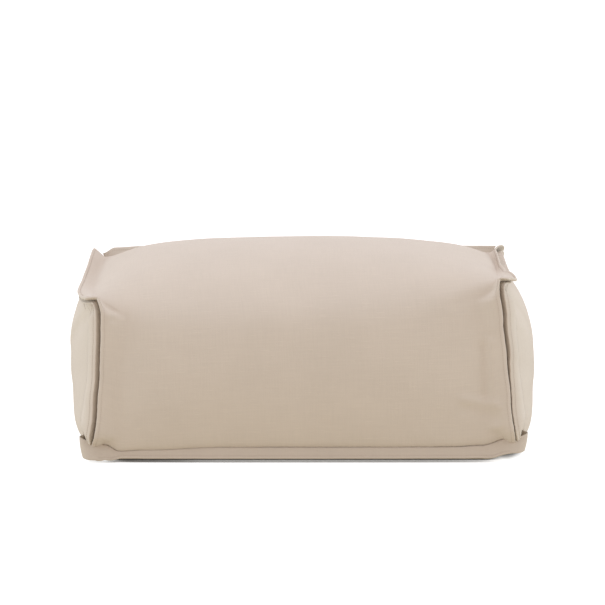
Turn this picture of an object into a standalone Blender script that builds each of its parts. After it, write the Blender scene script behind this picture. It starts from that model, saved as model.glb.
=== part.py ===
"""Outdoor pouf: a filled canvas body with standing, turned seams.

Metres, +Z up. The origin is on the floor under the middle, +X runs along the
long side and the front faces -Y. Every piece is a plain shape (a divided cube,
a ring or a grid) whose points are moved onto the pouf by the functions below.
"""
import math

import bmesh
import bpy
from mathutils import Vector

COLLECTION = "outdoor_pouf"

# The filled body.
HALF_DEPTH = 0.308          # middle to the front or rear seam
# Height of the bottom seam: behind, halfway along the ends, and in front by the
# place from the left end (-1) to the right (1), where both corners lift.
RIM_REAR = 0.020
RIM_ENDS = 0.010
RIM_FRONT = (
    (-1.00, 0.038),
    (-0.95, 0.030),
    (-0.88, 0.016),
    (-0.75, 0.019),
    (-0.40, 0.025),
    (0.72, 0.025),
    (0.85, 0.028),
    (1.00, 0.046),
)
SETTLE = 0.0015             # how far the filling presses the base flat
TOP_FRONT = (0.308, 0.344)  # height of the top corners in front, left and right
TOP_REAR = (0.308, 0.315)   # and at the rear
MID_HEIGHT = (0.142, 0.133)     # level that the end panels bulge from, left and right
CROWN = 0.0605
FRONT_BULGE = 0.030
REAR_BULGE = 0.034
END_FLAT = 0.366            # distance of an end's plane from the middle
END_BULGE = 0.070           # and how far its panel bulges beyond that
END_FULLNESS = 3.1          # higher keeps the bulge broad out to the seam
END_SAG = 8.0               # the same towards the base, where the filling sags
END_TAPER = 0.45            # share of the bulge that tapers evenly towards the base
SWELL_SLOPE = (0.10, 0.58)  # share of the swelling that fades gently, left and right
SWELL_POWER = (7, 12)       # the rest stays full until close to the end seams
CROWN_POWER = 2.0
FACE_POWER = 4              # keeps the swelling of one face off its neighbours
BASE_FLAT = 0.86            # share of the base, each way, that lies on the floor
BODY_CUTS = 19              # cuts along each edge of the starting cube

# Corner sharpness of the body's section: 2 is a circle, high is square.
SHARP_SEAM = 22.0
SHARP_FRONT_ROLL = 6.0
SHARP_REAR_TOP = 12.0
SHARP_BASE = 30.0
SHARP_END_PANEL = 3.0       # rounder inside an end panel

# Distance of the end seams from the middle, left and right, along each run.
# The front run is a table of height share, left and right.
SEAM_FRONT = (
    (0.00, 0.381, 0.386),
    (0.25, 0.375, 0.379),
    (0.50, 0.370, 0.373),
    (0.75, 0.368, 0.366),
    (1.00, 0.367, 0.357),
)
SEAM_TOP = (0.388, 0.366)
SEAM_REAR = (0.386, 0.376)
SEAM_BASE = (0.387, 0.390)
RUN_BLEND = 14.0            # how late one run hands over to the next at a corner

# How the faces beside a seam are felt out, in shares of the half cube.
ON_FACE = 0.999
INTO_FACE = 0.975
NEXT_PLACE = 0.01

# The turned edges that stand out from the seams.
LIP_THICK = 0.003
LIP_APART = 0.0020          # half the distance between the two roots of a pair
SEAM_GAP = 0.0004           # clear space between an edge's root and the body
LEAST_SLOPE = 0.1           # an edge steps clear only of faces that it leaves this steeply
LIP_STATIONS = 84
CROWDING = 0.80             # 0 spaces them evenly, near 1 gathers them at the corners
FLANGE_STATIONS = 40
FLANGE_END_GAP = 0.003      # the cross flanges stop this short of the end seams
FLANGE_GAP = 0.0009         # and start this far beyond their clear place
CLEAR_FLOOR = 0.0004

# One row per place round an end: place, then the way the edge points
# (outward, forward, up) and its width. Place 0 is the front bottom corner,
# 1 the front top, 2 the rear top and 3 the rear bottom corner. The flap at
# the top front corner is the wrap's edge turned sideways, near place 1.04.
WRAP_BACK = (
    (2.10, 0.10, -0.99, 0.00, 0.018),
    (2.90, 0.10, -0.99, 0.00, 0.018),
    (3.00, 0.70, -0.55, -0.22, 0.024),
    (3.10, 0.92, 0.00, -0.40, 0.017),
    (3.90, 0.92, 0.00, -0.40, 0.017),
    (4.00, 0.40, 0.45, -0.80, 0.038),
)
END_BACK = (
    (2.10, 0.55, -0.83, 0.00, 0.019),
    (2.90, 0.55, -0.83, 0.00, 0.019),
    (3.00, 0.95, -0.30, 0.00, 0.020),
    (3.10, 0.99, 0.00, -0.10, 0.017),
    (3.92, 0.99, 0.00, -0.10, 0.018),
    (4.00, 0.55, 0.05, -0.83, 0.032),
)
LIPS = {
    "wrap_lip_left": (
        (0.05, 0.10, 0.99, 0.00, 0.018),
        (0.94, 0.12, 0.98, 0.03, 0.018),
        (0.975, 0.16, 0.88, 0.42, 0.018),
        (1.00, 0.72, 0.58, 0.24, 0.027),
        (1.04, 0.94, 0.34, 0.06, 0.031),
        (1.10, 1.00, 0.04, 0.04, 0.031),
        (1.30, 0.95, 0.00, 0.30, 0.025),
        (1.60, 0.88, 0.00, 0.46, 0.024),
        (1.90, 0.80, 0.00, 0.60, 0.025),
        (2.00, 0.74, -0.20, 0.62, 0.024),
    ) + WRAP_BACK,
    "end_lip_left": (
        (0.05, 0.50, 0.86, 0.00, 0.019),
        (0.975, 0.52, 0.85, -0.06, 0.018),
        (1.04, 0.96, 0.12, -0.25, 0.021),
        (1.10, 0.98, 0.02, -0.20, 0.022),
        (1.30, 1.00, 0.00, -0.02, 0.021),
        (1.88, 0.94, 0.00, 0.22, 0.018),
        (2.00, 0.92, -0.20, 0.22, 0.018),
    ) + END_BACK,
    "wrap_lip_right": (
        (0.00, 0.68, 0.40, -0.61, 0.028),
        (0.06, 0.22, 0.97, 0.00, 0.018),
        (0.30, 0.18, 0.98, 0.00, 0.018),
        (0.60, 0.08, 0.99, 0.00, 0.018),
        (0.93, 0.08, 0.98, 0.05, 0.018),
        (0.97, 0.10, 0.85, 0.50, 0.018),
        (1.00, 0.68, 0.60, 0.10, 0.025),
        (1.04, 0.90, 0.34, -0.16, 0.032),
        (1.10, 0.84, 0.10, 0.52, 0.012),
        (1.30, 0.40, 0.00, 0.90, 0.011),
        (1.80, 0.50, 0.00, 0.85, 0.014),
        (2.00, 0.84, -0.25, 0.48, 0.026),
    ) + WRAP_BACK[:-1],
    "end_lip_right": (
        (0.00, 0.86, 0.15, -0.48, 0.027),
        (0.06, 0.30, 0.95, 0.00, 0.017),
        (0.30, 0.28, 0.96, 0.00, 0.017),
        (0.60, 0.45, 0.89, 0.00, 0.018),
        (0.975, 0.48, 0.87, -0.06, 0.018),
        (1.04, 0.93, 0.12, -0.34, 0.018),
        (1.10, 0.97, 0.02, -0.10, 0.016),
        (1.30, 0.98, 0.00, 0.16, 0.016),
        (1.88, 0.92, 0.00, 0.30, 0.018),
        (2.00, 0.90, -0.20, 0.24, 0.020),
    ) + END_BACK[:-1],
}

# The cross flanges: the way they point (forward, up) and rows of place from the
# left end (-1) to the right (1), width, and how far the free edge splays out.
FRONT_FLANGE_WAY = (0.36, -0.93)
FRONT_FLANGE = (
    (-1.00, 0.0340, 0.015),
    (-0.95, 0.0270, 0.004),
    (-0.88, 0.0140, 0.000),
    (-0.75, 0.0172, 0.000),
    (-0.40, 0.0195, 0.000),
    (0.85, 0.0180, 0.000),
    (0.93, 0.0200, 0.003),
    (1.00, 0.0250, 0.017),
)
REAR_FLANGE_WAY = (-0.30, 0.95)
REAR_FLANGE = (
    (-1.00, 0.0090, 0.004),
    (-0.94, 0.0200, 0.003),
    (-0.80, 0.0215, 0.0),
    (0.60, 0.0165, 0.0),
    (1.00, 0.0165, 0.008),
)


def clear_scene():
    for item in list(bpy.context.scene.objects):
        bpy.data.objects.remove(item, do_unlink=True)


def mix(low, high, share):
    return low + (high - low) * share


def smooth(share):
    share = min(max(share, 0.0), 1.0)
    return share * share * (3.0 - 2.0 * share)


def on_side(pair, along):
    """Blend a left and right value; along is -1 at the left end, 1 at the right."""
    return mix(pair[0], pair[1], (along + 1.0) / 2.0)


def read_rows(rows, place):
    """Blend the rows of a short table, whose first column is the place."""
    for low, high in zip(rows, rows[1:]):
        if place <= high[0]:
            share = smooth((place - low[0]) / (high[0] - low[0]))
            return [mix(a, b, share) for a, b in zip(low[1:], high[1:])]
    return list(rows[-1][1:])


def read_round(rows, place):
    """Blend the rows of a table that runs once round an end, from 0 to 4."""
    first = (rows[-1][0] - 4.0,) + rows[-1][1:]
    return read_rows((first,) + rows, place % 4.0)


def seam_reach(side, around_y, around_z):
    """Distance of an end seam from the middle, at a place on the unit square."""
    front = on_side(read_rows(SEAM_FRONT, (around_z + 1.0) / 2.0), side)
    runs = (
        (-around_y, front),
        (around_z, on_side(SEAM_TOP, side)),
        (around_y, on_side(SEAM_REAR, side)),
        (-around_z, on_side(SEAM_BASE, side)),
    )
    weights = [max(nearness, 0.0) ** RUN_BLEND for nearness, _ in runs]
    return sum(w * reach for w, (_, reach) in zip(weights, runs)) / sum(weights)


def sharpness(fill, around_y, around_z):
    """Corner sharpness of the section, from the seam (fill 0) to the middle (fill 1)."""
    front = smooth((1.0 - around_y) / 2.0)
    top = smooth((1.0 + around_z) / 2.0)
    middle = (
        front * top / SHARP_FRONT_ROLL
        + (1.0 - front) * top / SHARP_REAR_TOP
        + (1.0 - top) / SHARP_BASE
    )
    return 1.0 / mix(1.0 / SHARP_SEAM, middle, fill)


def body_point(along, across, height):
    """Place of a point of the cube (each from -1 to 1) on the filled body."""
    reach = max(abs(across), abs(height), 1e-6)
    around_y = across / reach
    around_z = height / reach
    end = 0 if along < 0.0 else 1
    lost = mix(abs(along) ** SWELL_POWER[end], along ** 2, SWELL_SLOPE[end])
    fill = max(0.0, 1.0 - lost)
    power = sharpness(fill, around_y, around_z)
    if abs(along) >= ON_FACE:
        power = 1.0 / mix(1.0 / SHARP_END_PANEL, 1.0 / SHARP_SEAM, reach ** FACE_POWER)
    rounding = (abs(around_y) ** power + abs(around_z) ** power) ** (-1.0 / power)
    section_y = around_y * rounding
    section_z = around_z * rounding

    top = mix(on_side(TOP_FRONT, along), on_side(TOP_REAR, along), (section_y + 1.0) / 2.0)
    in_front = max(-section_y, 0.0) ** FACE_POWER
    behind = max(section_y, 0.0) ** FACE_POWER
    on_top = max(section_z, 0.0)
    rim = read_rows(RIM_FRONT, along)[0] if section_y < 0.0 else RIM_REAR
    rim = mix(RIM_ENDS, rim, section_y ** FACE_POWER)
    y = section_y * HALF_DEPTH
    z = rim + (top - rim) * (section_z + 1.0) / 2.0
    if height <= -ON_FACE:
        edge = max(abs(along), abs(across))
        z -= rim * (1.0 - smooth((edge - BASE_FLAT) / (1.0 - BASE_FLAT)))

    y += fill * (1.0 - section_z ** 2) * (REAR_BULGE * behind - FRONT_BULGE * in_front)
    z += fill * (1.0 - abs(section_y) ** CROWN_POWER) * CROWN * on_top

    left = -seam_reach(-1.0, around_y, around_z)
    right = seam_reach(1.0, around_y, around_z)
    x = mix(left, right, (along + 1.0) / 2.0)
    if abs(along) >= ON_FACE:
        y *= reach
        z = mix(MID_HEIGHT[end], z, reach)
        x = mix(math.copysign(END_FLAT, along), x, reach ** 2)
        sagged = mix(reach ** END_SAG, reach ** 1.5, END_TAPER)
        lost = mix(reach ** END_FULLNESS, sagged, smooth(-around_z))
        x += math.copysign(END_BULGE * (1.0 - lost), along)
    return Vector((x, y, max(0.0, z - SETTLE)))


def square_place(place):
    """Point on the unit square at a place from 0 to 4 round an end."""
    run = int(place) % 4
    share = 2.0 * (place - int(place)) - 1.0
    return ((-1.0, share), (share, 1.0), (1.0, -share), (-share, -1.0))[run]


def crowded(place):
    """Draw evenly spaced places towards the four corners."""
    run = math.floor(place)
    share = place - run
    return run + share - CROWDING * math.sin(2.0 * math.pi * share) / (2.0 * math.pi)


def seam_sides(seam, along_seam, faces, turn):
    """A seam's point, its run and the ways that its two faces look.

    The seam, the next point along it and a point on each face are given as
    points of the cube; turn is 1 where the first face lies left of the run.
    """
    start = body_point(*seam)
    run = (body_point(*along_seam) - start).normalized()
    leaving = []
    for face in faces:
        way = body_point(*face) - start
        leaving.append((way - run * way.dot(run)).normalized())
    looks = (run.cross(leaving[0]) * turn, leaving[1].cross(run) * turn)
    return start, run, looks


def clear_root(start, run, looks, step, way, aside):
    """Start of an edge sewn into a seam, stepped out until it clears one face.

    The edge then leaves along way; aside is its place within a pair of edges.
    """
    thickness_way = way.cross(run).normalized() * (LIP_THICK / 2.0)
    outs = []
    for look in looks:
        room = SEAM_GAP + abs(thickness_way.dot(look))
        if step.dot(look) > LEAST_SLOPE:
            outs.append((room - aside.dot(look)) / step.dot(look))
    return start + aside + step * max(min(outs), 0.0)


def lip_point(end, name, place, share):
    """Point on a lip: share 0 at its root and 1 at its turned edge."""
    side = -1.0 if end == "left" else 1.0
    across, height = square_place(place)
    start, run, looks = seam_sides(
        (side, across, height),
        (side, *square_place(place + NEXT_PLACE)),
        ((side * INTO_FACE, across, height), (side, across * INTO_FACE, height * INTO_FACE)),
        side)
    ways = {}
    for piece in ("wrap_lip", "end_lip"):
        out, forward, up, width = read_round(LIPS[f"{piece}_{end}"], place)
        ways[piece] = (Vector((side * out, -forward, up)).normalized(), width)
    middle = ways["wrap_lip"][0] + ways["end_lip"][0]
    middle = (middle - run * middle.dot(run)).normalized()
    aside = middle.cross(run) * side * LIP_APART
    way, width = ways[name]
    root = clear_root(start, run, looks, middle, way, aside if name == "wrap_lip" else -aside)
    point = root + way * (width * share)
    point.z = max(point.z, LIP_THICK / 2.0 + CLEAR_FLOOR)
    return point


def canvas(name, red, green, blue):
    """Woven outdoor canvas; the colour is given as it looks on a screen, 0 to 255."""
    linear = [((value / 255.0 + 0.055) / 1.055) ** 2.4 for value in (red, green, blue)]
    material = bpy.data.materials.new(name)
    material.use_nodes = True
    shader = material.node_tree.nodes["Principled BSDF"]
    shader.inputs["Base Color"].default_value = (*linear, 1.0)
    shader.inputs["Roughness"].default_value = 0.9
    shader.inputs["Metallic"].default_value = 0.0
    material.diffuse_color = (*linear, 1.0)
    return material


def add_object(name, mesh_data, material, collection):
    mesh = bpy.data.meshes.new(name)
    bmesh.ops.recalc_face_normals(mesh_data, faces=mesh_data.faces)
    mesh_data.to_mesh(mesh)
    mesh_data.free()
    mesh.materials.append(material)
    item = bpy.data.objects.new(name, mesh)
    collection.objects.link(item)
    return item


def thicken(item):
    """Give a ribbon the thickness of its turned edge, half to each side."""
    solid = item.modifiers.new("turned_edge", "SOLIDIFY")
    solid.thickness = LIP_THICK
    solid.offset = 0.0


def make_body(material, collection):
    cube = bmesh.new()
    bmesh.ops.create_cube(cube, size=2.0)
    bmesh.ops.subdivide_edges(cube, edges=cube.edges, cuts=BODY_CUTS, use_grid_fill=True)
    for vertex in cube.verts:
        along, across, height = vertex.co
        vertex.co = body_point(
            math.sin(along * math.pi / 2.0) if abs(along) < ON_FACE else along,
            across, height)
    return add_object("filled_body", cube, material, collection)


def make_lip(end, name, material, collection):
    """A ring round one end, made from a flat ring drawn out from a circle."""
    ring = bmesh.new()
    bmesh.ops.create_circle(ring, segments=LIP_STATIONS, radius=1.0)
    edges = list(ring.edges)
    for radius in (1.5, 2.0):
        grown = bmesh.ops.extrude_edge_only(ring, edges=edges)["geom"]
        edges = [part for part in grown if isinstance(part, bmesh.types.BMEdge)]
        for vertex in (part for part in grown if isinstance(part, bmesh.types.BMVert)):
            vertex.co = vertex.co.normalized() * radius
    for vertex in ring.verts:
        angle = math.atan2(vertex.co.y, vertex.co.x) % (2.0 * math.pi)
        place = crowded(angle / (math.pi / 2.0))
        vertex.co = lip_point(end, name, place % 4.0, vertex.co.length - 1.0)
    item = add_object(f"{name}_{end}", ring, material, collection)
    thicken(item)
    return item


def make_cross_flange(name, across, height, way, rows, material, collection):
    """A strip along the front bottom or rear top seam, between the two ends."""
    strip = bmesh.new()
    bmesh.ops.create_grid(strip, x_segments=FLANGE_STATIONS, y_segments=2, size=1.0)
    forward, up = way
    way = Vector((0.0, -forward, up)).normalized()
    for vertex in strip.verts:
        half = seam_reach(math.copysign(1.0, vertex.co.x), across, height) - FLANGE_END_GAP
        along = vertex.co.x * half / (half + FLANGE_END_GAP)
        start, run, looks = seam_sides(
            (along, across, height), (along + NEXT_PLACE / 10.0, across, height),
            ((along, across, height * INTO_FACE), (along, across * INTO_FACE, height)), 1.0)
        root = clear_root(start, run, looks, way, way, Vector())
        width, splay = read_rows(rows, vertex.co.x)
        share = (vertex.co.y + 1.0) / 2.0
        vertex.co = root + way * (FLANGE_GAP + width * share)
        vertex.co.x += math.copysign(splay * share, along)
        vertex.co.z = max(vertex.co.z, CLEAR_FLOOR)
    item = add_object(name, strip, material, collection)
    thicken(item)
    return item


def main():
    clear_scene()
    collection = bpy.data.collections.new(COLLECTION)
    bpy.context.scene.collection.children.link(collection)
    make_body(canvas("body_canvas", 204, 189, 172), collection)
    for end in ("left", "right"):
        make_lip(end, "wrap_lip", canvas(f"wrap_edge_{end}", 206, 190, 173), collection)
        make_lip(end, "end_lip", canvas(f"end_edge_{end}", 214, 201, 187), collection)
    make_cross_flange("front_base_flange", -1.0, -1.0, FRONT_FLANGE_WAY, FRONT_FLANGE,
                      canvas("front_flange_canvas", 184, 167, 150), collection)
    make_cross_flange("rear_top_flange", 1.0, 1.0, REAR_FLANGE_WAY, REAR_FLANGE,
                      canvas("rear_flange_canvas", 200, 187, 172), collection)


main()
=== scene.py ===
"""Outdoor pouf, dressed: a sewn cover of sand canvas over a soft filling.

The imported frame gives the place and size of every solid. This script sews the
cover that shows: one wrap panel for front, top, back and base, two end panels,
the flanges along the cross seams, and the topstitching. Metres, +Z up.
"""

import math

import bmesh
import bpy
import numpy as np
from bpy.props import FloatProperty, FloatVectorProperty, IntProperty, PointerProperty
from bpy.types import Operator, Panel, PropertyGroup
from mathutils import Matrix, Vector, noise
from mathutils.bvhtree import BVHTree


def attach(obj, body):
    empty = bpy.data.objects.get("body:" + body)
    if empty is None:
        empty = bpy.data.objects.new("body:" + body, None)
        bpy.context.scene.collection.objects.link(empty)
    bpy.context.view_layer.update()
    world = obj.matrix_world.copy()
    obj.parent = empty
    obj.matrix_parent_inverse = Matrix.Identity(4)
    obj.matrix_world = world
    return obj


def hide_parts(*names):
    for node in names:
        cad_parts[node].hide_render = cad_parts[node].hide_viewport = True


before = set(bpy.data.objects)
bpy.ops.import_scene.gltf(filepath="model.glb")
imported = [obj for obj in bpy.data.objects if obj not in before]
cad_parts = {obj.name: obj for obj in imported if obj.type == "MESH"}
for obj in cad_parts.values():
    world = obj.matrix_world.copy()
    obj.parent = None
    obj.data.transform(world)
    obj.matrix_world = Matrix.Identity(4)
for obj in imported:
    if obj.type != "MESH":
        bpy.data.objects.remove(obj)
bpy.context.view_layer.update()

bl_info = {
    "name": "Outdoor pouf",
    "version": (1, 0, 0),
    "blender": (4, 5, 0),
    "location": "View3D > Sidebar > Pouf",
    "description": "Sews the canvas cover of an outdoor pouf over its packed solids",
    "category": "Object",
}

# --- The filled block that the cover is sewn round, as in the solids
HALF_DEPTH = 0.308  # middle to the front or rear seam
# Height of the bottom seam: behind, halfway along the ends, and in front by the
# place from the left end (-1) to the right (1), where both corners lift.
RIM_REAR = 0.020
RIM_ENDS = 0.010
RIM_FRONT = (
    (-1.00, 0.038),
    (-0.95, 0.030),
    (-0.88, 0.016),
    (-0.75, 0.019),
    (-0.40, 0.025),
    (0.72, 0.025),
    (0.85, 0.028),
    (1.00, 0.046),
)
SETTLE = 0.0015  # how far the filling presses the base flat
TOP_FRONT = (0.308, 0.344)  # height of the top corners in front, left and right
TOP_REAR = (0.308, 0.315)  # and at the rear
MID_HEIGHT = (0.142, 0.133)  # level that the end panels bulge from, left and right
CROWN = 0.0605  # how far the top, the front and the back swell
FRONT_BULGE = 0.030
REAR_BULGE = 0.034
END_FLAT = 0.366  # distance of an end's plane from the middle
END_BULGE = 0.070  # and how far its panel bulges beyond that
END_FULLNESS = 3.1  # higher keeps the bulge broad out to the seam
END_SAG = 8.0  # the same towards the base, where the filling sags
END_TAPER = 0.45  # share of the bulge that tapers evenly towards the base
END_TAPER_POWER = 1.5
SWELL_SLOPE = (0.10, 0.58)  # share of the swelling that fades gently, left and right
SWELL_POWER = (7, 12)  # the rest stays full until close to the end seams
CROWN_POWER = 2.0
FACE_POWER = 4  # keeps the swelling of one face off its neighbours
BASE_FLAT = 0.86  # share of the base, each way, that lies on the floor

# Corner sharpness of the body's section: 2 is a circle, high is square.
SHARP_SEAM = 22.0
SHARP_FRONT_ROLL = 6.0
SHARP_REAR_TOP = 12.0
SHARP_BASE = 30.0
SHARP_END_PANEL = 3.0  # rounder inside an end panel

# Distance of the end seams from the middle, left and right, along each run.
# The front run is a table of height share, left and right.
SEAM_FRONT = (
    (0.00, 0.381, 0.386),
    (0.25, 0.375, 0.379),
    (0.50, 0.370, 0.373),
    (0.75, 0.368, 0.366),
    (1.00, 0.367, 0.357),
)
SEAM_TOP = (0.388, 0.366)
SEAM_REAR = (0.386, 0.376)
SEAM_BASE = (0.387, 0.390)
RUN_BLEND = 14.0  # how late one run hands over to the next at a corner

# How the faces beside a seam are felt out, in shares of the half cube.
ON_FACE = 0.999
INTO_FACE = 0.975
NEXT_PLACE = 0.01
NEXT_ALONG = 0.001
BESIDE = 0.004
TINY = 1e-6
WELD = 1e-7  # points of the cloth closer than this are one

LIP_THICK = 0.003  # a turned edge's two layers together
LIP_APART = 0.0020  # half the distance between the two roots of a pair
SEAM_GAP = 0.0004  # clear space between an edge's root and the body
LEAST_SLOPE = 0.1  # an edge steps clear only of faces that it leaves this steeply
CLEAR_FLOOR = 0.0004

# Place round an end, then the way the turned edge points (outward, forward,
# up) and its width. Place 0 is the front bottom corner, 1 the front top, 2 the
# rear top and 3 the rear bottom corner.
WRAP_BACK = (
    (2.10, 0.10, -0.99, 0.00, 0.018),
    (2.90, 0.10, -0.99, 0.00, 0.018),
    (3.00, 0.70, -0.55, -0.22, 0.024),
    (3.10, 0.92, 0.00, -0.40, 0.017),
    (3.90, 0.92, 0.00, -0.40, 0.017),
    (3.96, 0.80, 0.20, -0.55, 0.014),
    (4.00, 0.30, 0.90, -0.30, 0.013),
)
END_BACK = (
    (2.10, 0.55, -0.83, 0.00, 0.019),
    (2.90, 0.55, -0.83, 0.00, 0.019),
    (3.00, 0.95, -0.30, 0.00, 0.020),
    (3.10, 0.99, 0.00, -0.10, 0.017),
    (3.92, 0.99, 0.00, -0.10, 0.018),
    (3.96, 0.85, 0.10, -0.50, 0.014),
    (4.00, 0.50, 0.80, -0.30, 0.013),
)
LIPS = {
    "wrap_lip_left": (
        (0.05, 0.10, 0.99, 0.00, 0.018),
        (0.94, 0.12, 0.98, 0.03, 0.018),
        (0.975, 0.16, 0.88, 0.42, 0.018),
        (1.00, 0.80, 0.58, 0.06, 0.026),
        (1.04, 0.96, 0.30, -0.14, 0.0255),
        (1.10, 1.00, 0.04, 0.02, 0.028),
        (1.30, 0.95, 0.00, 0.30, 0.025),
        (1.60, 0.88, 0.00, 0.46, 0.024),
        (1.90, 0.80, 0.00, 0.60, 0.025),
        (2.00, 0.74, -0.20, 0.62, 0.024),
    ) + WRAP_BACK,
    "end_lip_left": (
        (0.05, 0.50, 0.86, 0.00, 0.019),
        (0.975, 0.52, 0.85, -0.06, 0.018),
        (1.04, 0.90, 0.12, -0.48, 0.021),
        (1.10, 0.96, 0.02, -0.30, 0.022),
        (1.30, 1.00, 0.00, -0.02, 0.021),
        (1.88, 0.94, 0.00, 0.22, 0.018),
        (2.00, 0.92, -0.20, 0.22, 0.018),
    ) + END_BACK,
    "wrap_lip_right": (
        (0.00, 0.30, 0.90, -0.30, 0.014),
        (0.06, 0.22, 0.97, 0.00, 0.018),
        (0.30, 0.18, 0.98, 0.00, 0.018),
        (0.60, 0.08, 0.99, 0.00, 0.018),
        (0.93, 0.08, 0.98, 0.05, 0.018),
        (0.97, 0.10, 0.85, 0.50, 0.018),
        (1.00, 0.68, 0.60, 0.10, 0.025),
        (1.04, 0.90, 0.34, -0.16, 0.032),
        (1.10, 0.84, 0.10, 0.52, 0.012),
        (1.30, 0.40, 0.00, 0.90, 0.011),
        (1.80, 0.50, 0.00, 0.85, 0.014),
        (2.00, 0.84, -0.25, 0.48, 0.026),
    ) + WRAP_BACK[:-1],
    "end_lip_right": (
        (0.00, 0.50, 0.80, -0.30, 0.014),
        (0.06, 0.30, 0.95, 0.00, 0.017),
        (0.30, 0.28, 0.96, 0.00, 0.017),
        (0.60, 0.45, 0.89, 0.00, 0.018),
        (0.975, 0.48, 0.87, -0.06, 0.018),
        (1.04, 0.93, 0.12, -0.34, 0.018),
        (1.10, 0.97, 0.02, -0.10, 0.016),
        (1.30, 0.98, 0.00, 0.16, 0.016),
        (1.88, 0.92, 0.00, 0.30, 0.018),
        (2.00, 0.90, -0.20, 0.24, 0.020),
    ) + END_BACK[:-1],
}

# The cross flanges: the way they point (forward, up) and rows of place from the
# left end (-1) to the right (1), width, and how far the free edge splays out.
FRONT_FLANGE_WAY = (0.36, -0.93)
FRONT_FLANGE = (
    (-1.00, 0.0365, 0.0),
    (-0.95, 0.0285, 0.0),
    (-0.88, 0.0135, 0.0),
    (-0.75, 0.0161, 0.0),
    (-0.40, 0.0215, 0.0),
    (0.72, 0.0215, 0.0),
    (0.85, 0.0240, 0.0),
    (0.93, 0.0290, 0.0),
    (1.00, 0.0310, 0.0),
)
REAR_FLANGE_WAY = (-0.30, 0.95)
REAR_FLANGE = (
    (-1.00, 0.0090, 0.004),
    (-0.94, 0.0200, 0.003),
    (-0.80, 0.0215, 0.0),
    (0.60, 0.0165, 0.0),
    (1.00, 0.0165, 0.008),
)
FLANGE_END_GAP = 0.003  # the flanges stop this short of the end seams
FRONT_FLANGE_SHIFT = Vector((0.0, -0.0035, 0.0030))  # the crease over it stays open
FLANGE_STATIONS = 220
FLANGE_STEPS = 8
FLANGE_UV_STEP = 0.0022  # flat cloth from one point of a flange's section to the next

# Each flange: name, side of the seam (front -1, rear 1), way, rows, cloth, and
# the width and length that its doubled strip is cut to.
FLANGES = (
    # the front flange's cloth is the canvas darkened as painted shade
    ("front_base_flange", -1.0, FRONT_FLANGE_WAY, FRONT_FLANGE, "sand_canvas_edge",
     (0.026, 0.860)),
    ("rear_top_flange", 1.0, REAR_FLANGE_WAY, REAR_FLANGE, "sand_canvas",
     (0.021, 0.750)),
)

# How the front flange is carried round the bottom corners and back along the ends.
TURN_RADIUS = 0.008
TURN_OUT = 0.005  # the corner lies this far beyond the strip's end
TURN_WIDE = (0.0245, 0.0195)  # how far it stands out, at the root and the edge
TURN_RISE = (0.007, 0.003)  # how far it rises there
TURN_THIN = 0.4  # share of its thickness that shows at the root
TURN_BACK = 0.034  # how far it then runs back
TURN_IN = 0.6  # share of its reach that it loses there
TURN_NARROW = 0.8  # share of its width that it loses there
TURN_NARROW_POWER = 1.5
TURN_STEPS = 8
BACK_STEPS = 6

# --- Folds in the cover
# Each is a straight soft ridge or trough from one place to another: start, end,
# half width and height, where below zero is a trough.
FOLDS = (
    # the puff and the crease beside the left corner flap
    ((-0.354, -0.322, 0.304), (-0.340, -0.322, 0.284), 0.011, 0.0042),
    ((-0.374, -0.312, 0.324), (-0.345, -0.318, 0.312), 0.006, -0.0036),
    ((-0.348, -0.325, 0.268), (-0.322, -0.325, 0.280), 0.007, -0.0026),
    # the soft line that runs in from the right corner flap
    ((0.352, -0.305, 0.350), (0.270, -0.320, 0.318), 0.018, 0.0028),
    ((0.350, -0.318, 0.332), (0.280, -0.325, 0.300), 0.014, -0.0018),
    # the crease that runs in from the left bottom corner
    ((-0.370, -0.322, 0.036), (-0.350, -0.328, 0.022), 0.0045, -0.0030),
    ((-0.366, -0.322, 0.048), (-0.330, -0.330, 0.030), 0.010, 0.0016),
    # the slack beside the right seam
    ((0.349, -0.322, 0.225), (0.352, -0.322, 0.118), 0.009, 0.0034),
    ((0.330, -0.325, 0.215), (0.334, -0.325, 0.130), 0.011, -0.0024),
    ((0.296, -0.330, 0.120), (0.356, -0.325, 0.108), 0.009, 0.0036),
    ((0.300, -0.330, 0.098), (0.352, -0.328, 0.086), 0.010, -0.0030),
    ((0.312, -0.330, 0.074), (0.356, -0.326, 0.066), 0.008, 0.0018),
    ((0.305, -0.330, 0.050), (0.368, -0.322, 0.046), 0.009, 0.0026),
    ((0.300, -0.330, 0.060), (0.350, -0.326, 0.056), 0.007, -0.0018),
    # two faint lines along the low front
    ((-0.300, -0.333, 0.053), (0.300, -0.333, 0.053), 0.0035, -0.0006),
    ((-0.320, -0.333, 0.041), (0.320, -0.333, 0.041), 0.0035, -0.0009),
    # the pocket above the right bottom corner
    ((0.402, -0.300, 0.062), (0.404, -0.296, 0.052), 0.008, -0.0060),
)


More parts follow.
